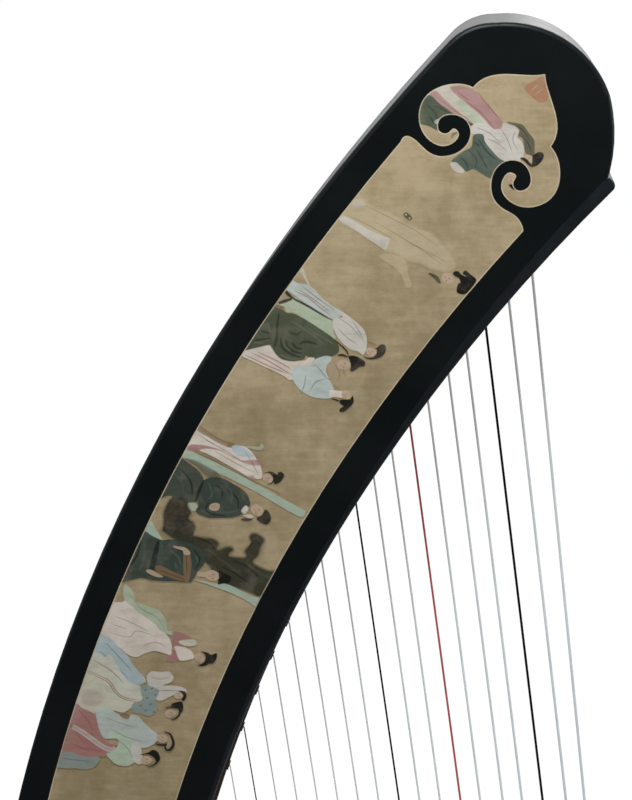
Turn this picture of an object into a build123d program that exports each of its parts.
from build123d import *
import os
from math import asin, cos, degrees, hypot, radians, sin, sqrt, tan

# Small konghou, a standing harp. Millimetres. +X runs from the belly of the soundbox towards the
# free end of the pin arm, +Z is up, and the player's near side is -Y. The floor is Z = 0.
# The strings lie in the plane Y = 0.

# ---------------------------------------------------------------- soundbox outline, in the XZ plane
# Both edges of the crescent are chains of arcs that meet smoothly. A place on an edge is its heading:
# the lean of the edge from the vertical, 0 at the belly and about 43 degrees at the head.
BELLY_X = -240.0
BELLY_Z = 297.0
BACK_RADII = (420.0, 1007.0, 1296.0)
BACK_JOINTS = (0.0, 35.15)
BACK_TOP = 42.9
FRONT_BELLY_X = -130.6
FRONT_BELLY_Z = 277.0
FRONT_RADII = (400.0, 865.0, 1106.0)
FRONT_JOINTS = (0.0, 31.8)
FRONT_TOP = 44.5
FOOT_Z = 60.0

# The head is a round nose with a tighter shoulder behind it and a flatter chin below it.
HEAD_X = 89.2
HEAD_Z = 961.4
HEAD_R = 64.2
HEAD_SPAN = (96.0, 20.0)
SHOULDER = (66.0, 1021.8)
BROW = (152.7, 960.0)
CHIN = (150.3, 938.0)

# ---------------------------------------------------------------- soundbox thickness, along Y
HALF_AT_800 = 72.5
HALF_SLOPE = 1 / 30
SIDE_WALL = 6.0
SIDE_ROUND = 2.5
BACK_WALL = 4.0
BOARD_THIN = 3.2
BOARD_THICK = 8.0
BOARD_ROUND = 1.5
BINDING_W = 3.0
BOARD_END = -2.0
BOARD_TOP = 44.85
BOARD_NOSE = 4.0
BOARD_HEEL = 1.5
HEAD_CUT = (41.0, 42.4)
TAIL_CUT = (-3.0, 3.0)
LINER = 8.0
BRACE_DEEP = 14.0
BRACE_HALF = 0.35
BRACE_HEADINGS = (37.0, 33.0, 24.0, 14.5, 5.5)

# ---------------------------------------------------------------- sound holes in the back
HOLE_LONG = 62.0
HOLE_WIDE = 26.0
HOLE_HEADINGS = (28.5, 19.5, 10.0)
RING_W = 3.5
RING_DEEP = 1.5

# ---------------------------------------------------------------- painted inlay
INLAY_POCKET = 1.0
INLAY_PROUD = 0.2
INLAY_BACK_BORDER = 18.0
INLAY_FRONT_BORDER = 21.5
INLAY_TOP = (40.2, 41.9)
INLAY_BOTTOM = (-6.0, -3.0)
INLAY_TAIL_TIP = (-181.0, 196.0)
# The cloud-scroll head, half of it: first figure back from the tip, second figure out from its axis.
SCROLL_TIP = (111.5, 995.5)
SCROLL_AXIS = 53.0
SCROLL_OGEE = ((0, 0), (-5.5, 6.2), (-11.8, 15.5), (-20, 24.7), (-31.5, 28.8))
SCROLL_LOBE = (
    (-31.5, 28.8), (-41.8, 43.6), (-54.5, 47.7), (-66, 42.5), (-71.8, 31), (-69.6, 21.6), (-63, 17.8),
    (-57.8, 19.3), (-57.6, 23.2), (-61.2, 24.1), (-63.8, 28.4), (-58.6, 32.7), (-51.6, 28.4),
    (-49.6, 20.6), (-53, 14.3), (-61, 11.4), (-70.7, 14.8), (-76.8, 22.8), (-77.3, 30), (-76.5, 37),
    (-77.9, 42.6),
)

# ---------------------------------------------------------------- strings
STRINGS = 21
STRING_X = 154.2
STRING_STEP = -13.14
STRING_Z = 550.0
STRING_LEAN = 0.1213
STRING_FAN = 0.00233
# Some strings stand a little off the even spacing: number to (shift in X at STRING_Z, change of lean,
# more turn in degrees at the bridge pin, so that the tuning pins still stand evenly).
STRAY = {1: (0.7, -0.0131, 9.0), 2: (1.8, -0.002, -2.5), 5: (0.8, 0.0, -1.8), 6: (-0.5, 0.0, 1.1)}
STRING_D = 1.7
STRING_D_STEP = -0.0575
RED_STRINGS = (7,)
BLACK_STRINGS = (3, 10, 17)
KNOT_R = 2.9
KNOT_GAP = 2.0
JOIN_SWELL = 1.03
RIB_W = 14.0
RIB_T = 2.5
INNER_RIB_W = 20.0
INNER_RIB_T = 4.0
RIB_SPAN = (42.0, 8.0)
EYELET_R = 2.0
EYELET_FLANGE_R = 3.2
EYELET_FLANGE_T = 0.8
EYELET_LONG = 5.0
EYELET_LIFT = 0.02
EYELET_SLACK = 0.15
DRILL_DEEP = 30.0
DRILL_PROUD = 10.0

# ---------------------------------------------------------------- pin arm, pins and finial
ARM_Z = 150.0
ARM_RISE = 8.0
ARM_HALF = 29.0
ARM_Y = (10.0, 46.0)
ARM_KNEE = (-50.0, 66.0)
ARM_CROTCH = (-35.0, 48.0)
ARM_END = 206.0
ARM_ROOT_IN = 30.0
TENON_Y = (18.0, 38.0)
TENON_Z = 142.0
TENON_HALF = 22.0
TENON_DEEP = 45.0
TENON_HEADING = -14.0
DOWEL_R = 5.0
DOWELS_Z = (133.25, 154.5)
DOWEL_END = 2.0
FINIAL_R = 32.0
FINIAL_LIFT = 2.0
FINIAL_ROUND = 2.0
FINIAL_GROOVE = 2.0
FINIAL_GROOVE_W = 3.0
FINIAL_TURNS = ((20.0, 90), (11.0, 270))
FINIAL_TURN_SHIFT = 5.0
BRIDGE_LINE = 13.0
BRIDGE_R = 2.0
BRIDGE_Y = (-4.0, 26.0)
PIN_TURN = 8.0
PIN_DROP = 26.0
PIN_R = 3.0
PIN_SLACK = 0.05
PIN_Y = (-10.0, 50.0)
PIN_KEY = 4.4
PIN_KEY_LONG = 14.0
PIN_KEY_TAPER = 1.5
PIN_CHAMFER = 0.7
PIN_EYE_R = 0.95
PIN_EYE_Y = -6.5
STRING_GAP = 0.25

# ---------------------------------------------------------------- base
BASE_X = -20.0
BASE_LONG = 390.0
BASE_WIDE = 230.0
BASE_CORNER = 60.0
BASE_T = 22.0
BASE_ROUND = 4.0
FEET_H = 10.0
FOOT_R = 14.0
FEET_X = 145.0
FEET_Y = 75.0
SADDLE_X = (-176.0, -42.0)
SADDLE_HALF = 60.0
SADDLE_CORNER = 12.0
SADDLE_CHAMFER = 4.8
BOLT_R = 4.0
BOLT_X = (-144.0, -104.0)
BOLT_Y = 26.0
BOLT_TOP = 95.0
BOLT_HEAD_R = 7.0
BOLT_HEAD_T = 6.0
SOCKET_HALF = 3.0
SOCKET_DEEP = 3.5
POCKET_SLACK = 0.5
WASHER_R = 9.0
WASHER_T = 1.6
SCREW_R = 2.0
SCREW_HEAD_R = 4.0
SCREW_HEAD_T = 3.0
SCREW_SEAT = 4.0
FOOT_CHAMFER = 2.0
SCREW_TOP = 24.0

# Cutting solids reach past the whole instrument.
REACH = 400.0
SLAB_LOW = -200.0
SLAB_HIGH = 1300.0
NEAR_ENOUGH = 0.05


# ---------------------------------------------------------------- outline helpers
def rail(belly_x, belly_z, radii, joints, top):
    """Three arcs from the foot to the head as (first heading, last heading, centre x, centre z, R)."""
    foot, middle, upper = radii
    lean = radians(joints[1])
    shift = upper - middle
    middle_x = belly_x + middle
    return (
        (-60.0, joints[0], belly_x + foot, belly_z, foot),
        (joints[0], joints[1], middle_x, belly_z, middle),
        (joints[1], top, middle_x + shift * cos(lean), belly_z - shift * sin(lean), upper),
    )


BACK = rail(BELLY_X, BELLY_Z, BACK_RADII, BACK_JOINTS, BACK_TOP)
FRONT = rail(FRONT_BELLY_X, FRONT_BELLY_Z, FRONT_RADII, FRONT_JOINTS, FRONT_TOP)
BACK_FOOT = degrees(asin((FOOT_Z - BELLY_Z) / BACK_RADII[0]))
FRONT_FOOT = degrees(asin((FOOT_Z - FRONT_BELLY_Z) / FRONT_RADII[0]))


def arc_for(edge, heading):
    """The arc of an edge that holds a heading."""
    return [arc for arc in edge if heading <= arc[1] or arc is edge[-1]][0]


def on(edge, heading, grow=0.0, arc=None):
    """The point at a heading, moved away from the arc's centre by grow."""
    x, z, radius = (arc or arc_for(edge, heading))[2:]
    lean = radians(heading)
    return Vector(x - (radius + grow) * cos(lean), 0, z + (radius + grow) * sin(lean))


def board(heading):
    """Soundboard thickness: even up to the last arc, then growing towards the head."""
    low, high = FRONT_JOINTS[1], FRONT_TOP
    return BOARD_THIN + (BOARD_THICK - BOARD_THIN) * max(0.0, (heading - low) / (high - low))


def stretch(edge, start, end, grow=0.0):
    """Arcs along an edge from one heading to another; grow is a distance or a function of heading."""
    away = grow if callable(grow) else lambda heading: grow
    stops = [start] + [arc[1] for arc in edge[:2] if min(start, end) < arc[1] < max(start, end)] + [end]
    stops = sorted(stops, reverse=start > end)
    arcs = []
    for a, b in zip(stops, stops[1:]):
        arc = arc_for(edge, (a + b) / 2)
        arcs.append(ThreePointArc(*[on(edge, h, away(h), arc) for h in (a, (a + b) / 2, b)]))
    return arcs


def loop(*stretches):
    """A closed face from runs of edges, with straight lines where one run doesn't meet the next."""
    edges = []
    for run, following in zip(stretches, stretches[1:] + stretches[:1]):
        edges += run
        gap = (following[0] @ 0 - run[-1] @ 1).length
        if gap > 1e-5:
            edges.append(Line(run[-1] @ 1, following[0] @ 0))
    return make_face(Wire(edges))


def plate(face, low_y, high_y):
    """The face in the XZ plane drawn out from low_y to high_y."""
    return extrude(Pos(0, low_y, 0) * face, amount=high_y - low_y, dir=(0, 1, 0))


def half_thickness(z):
    return HALF_AT_800 + (z - 800) * HALF_SLOPE


def drawn_along_x(corners):
    face = make_face(Polyline(*corners, close=True))
    return extrude(Pos(-REACH, 0, 0) * face, amount=2 * REACH, dir=(1, 0, 0))


def slab(side, outer, inner):
    """The leaning slab on one side of the box between two depths under its face."""
    low, high = half_thickness(SLAB_LOW), half_thickness(SLAB_HIGH)
    return drawn_along_x([
        (0, side * (low - outer), SLAB_LOW),
        (0, side * (high - outer), SLAB_HIGH),
        (0, side * (high - inner), SLAB_HIGH),
        (0, side * (low - inner), SLAB_LOW),
    ])


def core(inset):
    """Everything between the two side faces, inset from both."""
    low, high = half_thickness(SLAB_LOW) - inset, half_thickness(SLAB_HIGH) - inset
    far_side = [(0, low, SLAB_LOW), (0, high, SLAB_HIGH)]
    near_side = [(0, -high, SLAB_HIGH), (0, -low, SLAB_LOW)]
    return drawn_along_x(far_side + near_side)


def drawn(face):
    return plate(face, -REACH / 2, REACH / 2)


def band(edge, start, end, near, far):
    """The strip along an edge between two distances from it."""
    return loop(stretch(edge, start, end, near), stretch(edge, end, start, far))


def head_arcs():
    """Shoulder, nose and chin, from the top of the back to the soundboard."""
    first, last = [radians(a) for a in HEAD_SPAN]
    angles = (first, (first + last) / 2, last)
    nose = [(HEAD_X + HEAD_R * cos(a), 0, HEAD_Z + HEAD_R * sin(a)) for a in angles]
    return [
        ThreePointArc(on(BACK, BACK_TOP), (SHOULDER[0], 0, SHOULDER[1]), nose[0]),
        ThreePointArc(*nose),
        ThreePointArc(nose[2], (BROW[0], 0, BROW[1]), (CHIN[0], 0, CHIN[1])),
    ]


def silhouette():
    """The whole side of the box, without the soundboard."""
    return loop(
        stretch(BACK, BACK_FOOT, BACK_TOP),
        head_arcs(),
        stretch(FRONT, BOARD_TOP, BOARD_END, board),
        stretch(FRONT, BOARD_END, FRONT_FOOT),
    )


# ---------------------------------------------------------------- painted inlay
def scroll_half(points, side):
    """Scroll points on one side of the axis, placed on the side panel."""
    lean = radians(SCROLL_AXIS)
    placed = []
    for along, out in points:
        out = out * side
        x = SCROLL_TIP[0] + along * cos(lean) + out * sin(lean)
        z = SCROLL_TIP[1] + along * sin(lean) - out * cos(lean)
        placed.append((x, 0, z))
    return placed


def inlay_face():
    """Cloud-scroll head, two long sides that follow the box, and a pointed tail."""
    front, back = 1, -1
    back_top, front_top = INLAY_TOP
    front_side = stretch(FRONT, front_top, INLAY_BOTTOM[1], INLAY_FRONT_BORDER)
    back_side = stretch(BACK, INLAY_BOTTOM[0], back_top, -INLAY_BACK_BORDER)
    tip = Vector(INLAY_TAIL_TIP[0], 0, INLAY_TAIL_TIP[1])
    front_end, back_end = front_side[-1] @ 1, back_side[0] @ 0
    front_lobe = scroll_half(SCROLL_LOBE, front) + [front_side[0] @ 0]
    back_lobe = scroll_half(SCROLL_LOBE, back) + [back_side[-1] @ 1]
    edges = [
        Spline(*scroll_half(SCROLL_OGEE, front)),
        Spline(*front_lobe),
        *front_side,
        Spline(front_end, tip, tangents=(front_side[-1] % 1, Vector(-0.45, 0, -1))),
        Spline(tip, back_end, tangents=(Vector(-0.45, 0, 1), back_side[0] % 0)),
        *back_side,
        Spline(*reversed(back_lobe)),
        Spline(*reversed(scroll_half(SCROLL_OGEE, back))),
    ]
    return make_face(Wire(edges))


def on_side_face(point):
    return abs(abs(point.Y) - half_thickness(point.Z)) < NEAR_ENOUGH


def follows_back(point):
    """Whether a point of the outline is on the back or on the nose of the head."""
    on_back = any(abs(hypot(point.X - x, point.Z - z) - radius) < NEAR_ENOUGH for _, _, x, z, radius in BACK)
    on_nose = point.Z > CHIN[1] and point.X > on(BACK, BACK_TOP).X
    return on_back or on_nose


def side_panel(side, silhouette_solid, inlay):
    """A lacquered plate with softened outer edges and a shallow pocket for the painted inlay."""
    panel = silhouette_solid & slab(side, 0, SIDE_WALL)
    rounded = [edge for edge in panel.edges() if on_side_face(edge @ 0.5) and follows_back(edge @ 0.5)]
    panel = fillet(rounded, SIDE_ROUND)
    return panel - (inlay & slab(side, -SIDE_WALL, INLAY_POCKET))


def painted_panel(side, inlay):
    return inlay & slab(side, -INLAY_PROUD, INLAY_POCKET)


def head_block(skins):
    back_cut, front_cut = HEAD_CUT
    face = loop(
        stretch(BACK, back_cut, BACK_TOP),
        head_arcs(),
        [Line((CHIN[0], 0, CHIN[1]), on(FRONT, BOARD_TOP, board(BOARD_TOP)))],
        stretch(FRONT, FRONT_TOP, front_cut),
    )
    return drawn(face) & core(SIDE_WALL) - skins


def tail_block(skins, cut):
    back_cut, front_cut = TAIL_CUT
    face = loop(stretch(BACK, BACK_FOOT, back_cut), stretch(FRONT, front_cut, FRONT_FOOT))
    return drawn(face) & core(SIDE_WALL) - skins - cut


def hole_frame(heading):
    """A plane on the back, its x along the back and its normal outwards."""
    at = on(BACK, heading)
    lean = radians(heading)
    return Plane(origin=at, x_dir=(sin(lean), 0, cos(lean)), z_dir=(-cos(lean), 0, sin(lean)))


def slot_cutter(extra):
    """Stadium-shaped prisms through the back at each sound hole."""
    cutters = []
    for heading in HOLE_HEADINGS:
        face = hole_frame(heading) * SlotOverall(HOLE_LONG + 2 * extra, HOLE_WIDE + 2 * extra)
        cutters.append(extrude(face, amount=4 * BACK_WALL, both=True))
    return cutters


def back_strip():
    return drawn(band(BACK, TAIL_CUT[0], HEAD_CUT[0], 0, -BACK_WALL))


def board_strip():
    """The soundboard's strip. Its top end stands out past the head, with a round outer corner."""
    face = band(FRONT, BOARD_END, BOARD_TOP, 0, board)
    face = fillet(face.vertices().sort_by_distance(on(FRONT, BOARD_TOP))[0], BOARD_NOSE)
    heel = on(FRONT, BOARD_TOP, board(BOARD_TOP))
    return drawn(chamfer(face.vertices().sort_by_distance(heel)[0], BOARD_HEEL))


def back_panel(rings):
    return back_strip() & core(SIDE_WALL) - slot_cutter(0) - rings


def sound_hole_rings():
    shell = plate(band(BACK, -5, 40, 0, -RING_DEEP), -HOLE_LONG, HOLE_LONG)
    rings = []
    for outer, inner in zip(slot_cutter(RING_W), slot_cutter(0)):
        rings.append(shell & (outer - inner))
    return rings


def soundboard(drills):
    return board_strip() & core(BINDING_W) - drills


def soundboard_bindings():
    strip = board_strip()
    pair = []
    for side in (-1, 1):
        piece = strip & slab(side, 0, BINDING_W)
        corners = []
        for edge in piece.edges():
            middle = edge @ 0.5
            arc = FRONT[2] if middle.Z > on(FRONT, FRONT_JOINTS[1]).Z else FRONT[1]
            on_front = abs(hypot(middle.X - arc[2], middle.Z - arc[3]) - arc[4]) < NEAR_ENOUGH
            if on_side_face(middle) and on_front and middle.Z > FRONT_BELLY_Z:
                corners.append(edge)
        pair.append(fillet(corners, BOARD_ROUND))
    return pair


def side_liners(blocks):
    """Glue strips in the four long corners of the box."""
    front = drawn(band(FRONT, BOARD_END, BOARD_TOP, board, lambda h: board(h) + LINER))
    back = drawn(band(BACK, TAIL_CUT[0], HEAD_CUT[0], -BACK_WALL, -BACK_WALL - LINER))
    corner = {side: slab(side, SIDE_WALL, SIDE_WALL + LINER) for side in (-1, 1)}
    return [strip & corner[side] - blocks for strip in (front, back) for side in (-1, 1)]


def cross_braces():
    bars = []
    for heading in BRACE_HEADINGS:
        face = band(BACK, heading - BRACE_HALF, heading + BRACE_HALF, -BACK_WALL, -BACK_WALL - BRACE_DEEP)
        bars.append(drawn(face) & core(SIDE_WALL + LINER))
    return bars


# ---------------------------------------------------------------- strings
def front_normal(heading):
    """Out of the soundboard, towards the strings."""
    lean = radians(heading)
    return Vector(cos(lean), 0, -sin(lean))


def leave_heading(top_x, lean, height):
    """Heading at which the string's line crosses a curve at this height over the soundboard."""
    for low, high, x, z, radius in reversed(FRONT):
        reach = radius - height
        offset = top_x - lean * (z - STRING_Z) - x
        a, b, c = 1 + lean * lean, -2 * lean * offset, offset * offset - reach * reach
        if b * b < 4 * a * c:
            continue
        for root in ((-b + sqrt(b * b - 4 * a * c)) / (2 * a), (-b - sqrt(b * b - 4 * a * c)) / (2 * a)):
            if abs(root) < reach and low < degrees(asin(root / reach)) <= high and offset < lean * root:
                return degrees(asin(root / reach))


def string_places():
    """For each string: number, radius, heading, bend at the eyelet, bridge contact, pin contact, pins."""
    places = []
    rise = radians(ARM_RISE)
    for number in range(1, STRINGS + 1):
        radius = (STRING_D + STRING_D_STEP * (number - 1)) / 2
        shift, tilt, more_turn = STRAY.get(number, (0.0, 0.0, 0.0))
        top_x = STRING_X + STRING_STEP * number + shift
        lean = STRING_LEAN + STRING_FAN * number + tilt
        height = RIB_T + EYELET_FLANGE_T + radius
        heading = leave_heading(top_x, lean, height)
        bend = on(FRONT, heading, -height)
        down = Vector(lean, 0, -1).normalized()
        right = Vector(1, 0, lean).normalized()
        above_line = bend.Z - ARM_Z - BRIDGE_LINE / cos(rise) - bend.X * tan(rise)
        drop = above_line / (down.X * tan(rise) - down.Z)
        bridge = bend + down * drop
        turn = radians(PIN_TURN + more_turn)
        onward = down * cos(turn) + right * sin(turn)
        aside = right * cos(turn) - down * sin(turn)
        wound = bridge + onward * PIN_DROP
        bridge_pin = bridge + right * (BRIDGE_R + radius + PIN_SLACK)
        tuning_pin = wound + aside * (PIN_R + radius + STRING_GAP)
        places.append((number, radius, heading, bend, bridge, wound, bridge_pin, tuning_pin))
    return places


def rod(start, end, radius):
    """A round bar between two points."""
    along = end - start
    plane = Plane(origin=start, z_dir=along)
    return plane * Cylinder(radius, along.length, align=(Align.CENTER, Align.CENTER, Align.MIN))


def harp_string(place):
    """Knot inside the box, a short run through the soundboard, the speaking length, and the tail."""
    radius, heading, bend, bridge, wound = place[1:6]
    into = -front_normal(heading)
    depth = RIB_T + EYELET_FLANGE_T + radius + board(heading) + INNER_RIB_T + KNOT_R + KNOT_GAP
    knot = bend + into * depth
    swell = radius * JOIN_SWELL
    body = rod(knot, bend, radius) + Pos(*knot) * Sphere(KNOT_R) + Pos(*bend) * Sphere(swell)
    body += rod(bend, bridge, radius)
    body += Pos(*bridge) * Sphere(swell) + rod(bridge, wound, radius)
    return body


def string_drills(places):
    """One hole for each string, square to the soundboard."""
    drills = []
    for place in places:
        heading, bend = place[2], place[3]
        out = front_normal(heading)
        drills.append(rod(bend - out * DRILL_DEEP, bend + out * DRILL_PROUD, EYELET_R))
    return drills


def string_rib(drills):
    strip = plate(band(FRONT, RIB_SPAN[1], RIB_SPAN[0], 0, -RIB_T), -RIB_W / 2, RIB_W / 2)
    return strip - drills


def inner_string_rib(drills, blocks):
    face = band(FRONT, BOARD_END, BOARD_TOP, board, lambda h: board(h) + INNER_RIB_T)
    return plate(face, -INNER_RIB_W / 2, INNER_RIB_W / 2) - blocks - drills


def string_eyelets(places):
    """Flanged tubes that keep the strings from cutting the wood."""
    rings = []
    for place in places:
        radius, heading, bend = place[1], place[2], place[3]
        out = front_normal(heading)
        seat = bend - out * (EYELET_FLANGE_T + radius - EYELET_LIFT)
        ring = rod(seat - out * EYELET_LONG, seat, EYELET_R)
        ring += rod(seat, seat + out * EYELET_FLANGE_T, EYELET_FLANGE_R)
        bore = radius * JOIN_SWELL + EYELET_SLACK
        rings.append(ring - rod(seat - out * DRILL_PROUD, seat + out * DRILL_PROUD, bore))
    return rings


# ---------------------------------------------------------------- pin arm
def arm_point(along, across):
    """A point on the arm: along it from its root, and across it upwards."""
    rise = radians(ARM_RISE)
    return Vector(along * cos(rise) - across * sin(rise), 0, ARM_Z + along * sin(rise) + across * cos(rise))


def root_arc(at, side, radius):
    """The hollow curve from the arm's edge to the soundbox, and its centre."""
    start = arm_point(at, side * ARM_HALF)
    centre = arm_point(at, side * (ARM_HALF + radius))
    end = centre + Vector(-radius, 0, 0)
    middle = centre + Vector(-radius, 0, -side * radius).normalized() * radius
    return ThreePointArc(start, middle, end)


def pin_arm(silhouette_solid, places, tenon, dowels, pins):
    """A hardwood beam that flares into the soundbox and is tenoned into the tail block."""
    knee = root_arc(ARM_KNEE[0], 1, ARM_KNEE[1])
    crotch = root_arc(ARM_CROTCH[0], -1, ARM_CROTCH[1])
    bottom_in = crotch @ 1 - Vector(ARM_ROOT_IN, 0, 0)
    top_in = knee @ 1 - Vector(ARM_ROOT_IN, 0, 0)
    edges = [
        Line(arm_point(ARM_END, ARM_HALF), knee @ 0),
        knee,
        Line(knee @ 1, top_in),
        Line(top_in, bottom_in),
        Line(bottom_in, crotch @ 1),
        crotch,
        Line(crotch @ 0, arm_point(ARM_END, -ARM_HALF)),
        Line(arm_point(ARM_END, -ARM_HALF), arm_point(ARM_END, ARM_HALF)),
    ]
    beam = plate(make_face(Wire(edges)), *ARM_Y) - silhouette_solid + tenon
    holes = []
    for place in places:
        at = place[7]
        reach = Vector(0, 2 * ARM_Y[1], 0)
        holes.append(rod(at - reach, at + reach, PIN_R + PIN_SLACK))
    return beam - holes - pins - dowels


def arm_tenon():
    """The tongue of the arm that sits in the tail block."""
    deep = on(FRONT, TENON_HEADING).X - TENON_DEEP
    low, high = TENON_Z - TENON_HALF, TENON_Z + TENON_HALF
    right = arm_point(ARM_CROTCH[0], 0).X
    corners = [(deep, 0, low), (right, 0, low), (right, 0, high), (deep, 0, high)]
    return plate(make_face(Polyline(*corners, close=True)), *TENON_Y)


def tenon_dowels():
    """Two cross dowels that lock the tenon."""
    end_y = half_thickness(ARM_Z) - SIDE_WALL - DOWEL_END
    x = on(FRONT, TENON_HEADING).X - TENON_DEEP / 2
    return [rod(Vector(x, -end_y / 4, z), Vector(x, end_y, z), DOWEL_R) for z in DOWELS_Z]


def bridge_pins(places):
    pins = []
    for place in places:
        at = place[6]
        pin = rod(Vector(at.X, BRIDGE_Y[0], at.Z), Vector(at.X, BRIDGE_Y[1], at.Z), BRIDGE_R)
        pins.append(chamfer(pin.edges().sort_by(Axis.Y)[0], PIN_CHAMFER))
    return pins


def tuning_pin(place):
    """A round steel pin with an eye for the string and a square end for the key."""
    at = place[7]
    shank = rod(Vector(at.X, PIN_Y[0], at.Z), Vector(at.X, PIN_Y[1], at.Z), PIN_R)
    shank = chamfer(shank.edges().sort_by(Axis.Y)[0], PIN_CHAMFER)
    key = Plane(origin=(at.X, PIN_Y[1], at.Z), x_dir=(1, 0, 0), z_dir=(0, 1, 0))
    shank += extrude(key * Rectangle(PIN_KEY, PIN_KEY), amount=PIN_KEY_LONG, taper=PIN_KEY_TAPER)
    eye = Vector(at.X, PIN_EYE_Y, at.Z)
    across = Vector(2 * PIN_R, 0, 0)
    return shank - rod(eye - across, eye + across, PIN_EYE_R)


def arm_finial():
    """A round scroll that closes the free end of the arm, with a spiral cut in each face."""
    x = -BELLY_X - FINIAL_R
    z = ARM_Z + x * tan(radians(ARM_RISE)) + FINIAL_LIFT
    wide = 2 * FINIAL_R
    beyond = ((0, -wide), (wide, -wide), (wide, wide), (0, wide))
    corners = [arm_point(ARM_END + along, across) for along, across in beyond]
    disc = rod(Vector(x, ARM_Y[0], z), Vector(x, ARM_Y[1], z), FINIAL_R)
    disc = disc & plate(make_face(Polyline(*corners, close=True)), *ARM_Y)
    disc = fillet([edge for edge in disc.edges() if edge.length > wide], FINIAL_ROUND)
    for y in (ARM_Y[0], ARM_Y[1] - FINIAL_GROOVE):
        place = Plane(origin=(x + FINIAL_TURN_SHIFT, y, z), x_dir=(1, 0, 0), z_dir=(0, 1, 0))
        for radius, turn in FINIAL_TURNS:
            below = Pos(0, -radius) * Rectangle(2 * radius, 2 * radius)
            half_ring = Circle(radius) - Circle(radius - FINIAL_GROOVE_W) - below
            disc -= extrude(place * Rot(0, 0, turn) * half_ring, amount=FINIAL_GROOVE)
    return disc


# ---------------------------------------------------------------- base
def bolt_places():
    return [(x, y) for x in BOLT_X for y in (-BOLT_Y, BOLT_Y)]


def rim_edges(solid, height):
    return [edge for edge in solid.edges() if abs((edge @ 0.5).Z - height) < NEAR_ENOUGH]


def base_board(bolts, screws):
    plan = RectangleRounded(BASE_LONG, BASE_WIDE, BASE_CORNER)
    slab_solid = extrude(Pos(BASE_X, 0, FEET_H) * plan, amount=BASE_T)
    slab_solid = fillet(rim_edges(slab_solid, FEET_H + BASE_T), BASE_ROUND)
    deep = Vector(0, 0, BOLT_HEAD_T + WASHER_T)
    for x, y in bolt_places():
        mouth = Vector(x, y, FEET_H)
        slab_solid -= rod(mouth, mouth + deep, WASHER_R + POCKET_SLACK)
    return slab_solid - bolts - screws


def saddle_block(bolts):
    """A plinth between the base board and the foot of the soundbox."""
    low = FEET_H + BASE_T
    long = SADDLE_X[1] - SADDLE_X[0]
    middle = (SADDLE_X[0] + SADDLE_X[1]) / 2
    plan = RectangleRounded(long, 2 * SADDLE_HALF, SADDLE_CORNER)
    block = extrude(Pos(middle, 0, low) * plan, amount=FOOT_Z - low)
    return chamfer(rim_edges(block, FOOT_Z), SADDLE_CHAMFER) - bolts


def base_bolts():
    bolts = []
    seat = FEET_H + BOLT_HEAD_T
    for x, y in bolt_places():
        bolt = rod(Vector(x, y, FEET_H), Vector(x, y, seat), BOLT_HEAD_R)
        bolt += rod(Vector(x, y, seat), Vector(x, y, BOLT_TOP), BOLT_R)
        hexagon = RegularPolygon(SOCKET_HALF, 6, major_radius=False)
        bolts.append(bolt - extrude(Pos(x, y, FEET_H) * hexagon, amount=SOCKET_DEEP))
    return bolts


def bolt_washers():
    seat = FEET_H + BOLT_HEAD_T
    rings = []
    for x, y in bolt_places():
        low, high = Vector(x, y, seat), Vector(x, y, seat + WASHER_T)
        rings.append(rod(low, high, WASHER_R) - rod(low, high, BOLT_R))
    return rings


def feet_places():
    return [(BASE_X + sx * FEET_X, sy * FEET_Y) for sx in (-1, 1) for sy in (-1, 1)]


def base_feet(screws):
    feet = []
    for x, y in feet_places():
        foot = rod(Vector(x, y, 0), Vector(x, y, FEET_H), FOOT_R)
        foot = chamfer(rim_edges(foot, 0), FOOT_CHAMFER)
        foot -= rod(Vector(x, y, 0), Vector(x, y, SCREW_SEAT), SCREW_HEAD_R + POCKET_SLACK)
        feet.append(foot - screws)
    return feet


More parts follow.
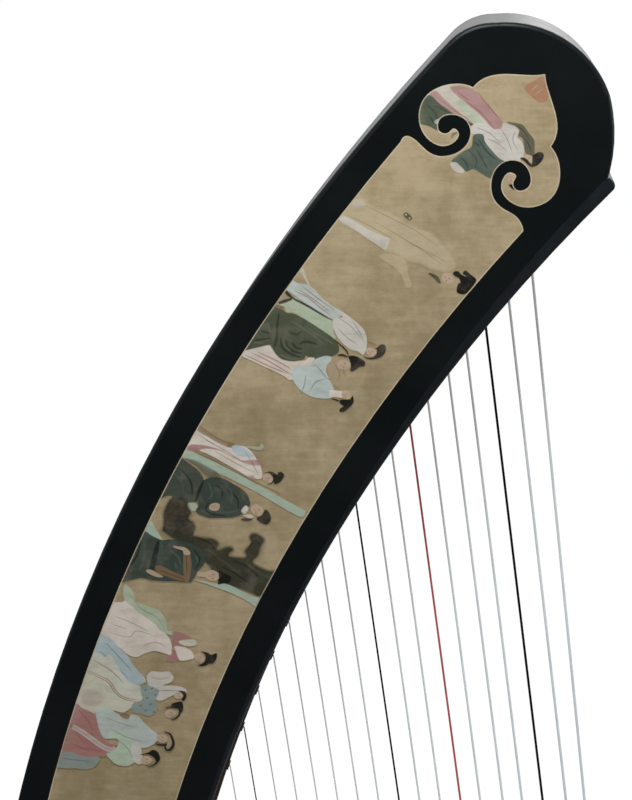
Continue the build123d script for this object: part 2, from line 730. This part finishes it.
def foot_screws():
    screws = []
    for x, y in feet_places():
        screw = rod(Vector(x, y, SCREW_SEAT - SCREW_HEAD_T), Vector(x, y, SCREW_SEAT), SCREW_HEAD_R)
        screw += rod(Vector(x, y, SCREW_SEAT), Vector(x, y, SCREW_TOP), SCREW_R)
        screws.append(screw)
    return screws


# ---------------------------------------------------------------- build and write
def write(name, shape):
    shapes = shape if isinstance(shape, (list, tuple)) else [shape]
    solids = [solid for item in shapes for solid in item.solids()]
    export_step(solids[0] if len(solids) == 1 else Compound(children=solids), f"parts/{name}.step")


os.makedirs("parts", exist_ok=True)

outline = drawn(silhouette())
body = outline + board_strip()
inlay = drawn(inlay_face())
places = string_places()
drills = string_drills(places)
pegs = tenon_dowels()
tenon = arm_tenon()
bridges = bridge_pins(places)
bolts = base_bolts()
screws = foot_screws()
rings = sound_hole_rings()
skins = [back_strip(), board_strip()]
head = head_block(skins + drills)
tail = tail_block(skins, [tenon] + pegs + bolts)

write("side_panel_near", side_panel(-1, outline, inlay))
write("side_panel_far", side_panel(1, outline, inlay))
write("painted_panel_near", painted_panel(-1, inlay))
write("painted_panel_far", painted_panel(1, inlay))
write("back_panel", back_panel(rings))
write("sound_hole_rings", rings)
write("soundboard", soundboard(drills))
write("soundboard_bindings", soundboard_bindings())
write("head_block", head)
write("tail_block", tail)
write("side_liners", side_liners([head, tail]))
write("cross_braces", cross_braces())
write("string_rib", string_rib(drills))
write("inner_string_rib", inner_string_rib(drills, [head, tail]))
write("string_eyelets", string_eyelets(places))

for name, numbers in (("strings_red", RED_STRINGS), ("strings_black", BLACK_STRINGS)):
    write(name, [harp_string(place) for place in places if place[0] in numbers])
coloured = RED_STRINGS + BLACK_STRINGS
write("strings_plain", [harp_string(place) for place in places if place[0] not in coloured])

write("pin_arm", pin_arm(body, places, tenon, pegs, bridges))
write("arm_finial", arm_finial())
write("tenon_dowels", pegs)
write("bridge_pins", bridges)
for place in places:
    write(f"tuning_pin_{place[0]:02d}", tuning_pin(place))

write("base_board", base_board(bolts, screws))
write("saddle_block", saddle_block(bolts))
write("base_bolts", bolts)
write("bolt_washers", bolt_washers())
write("base_feet", base_feet(screws))
write("foot_screws", screws)
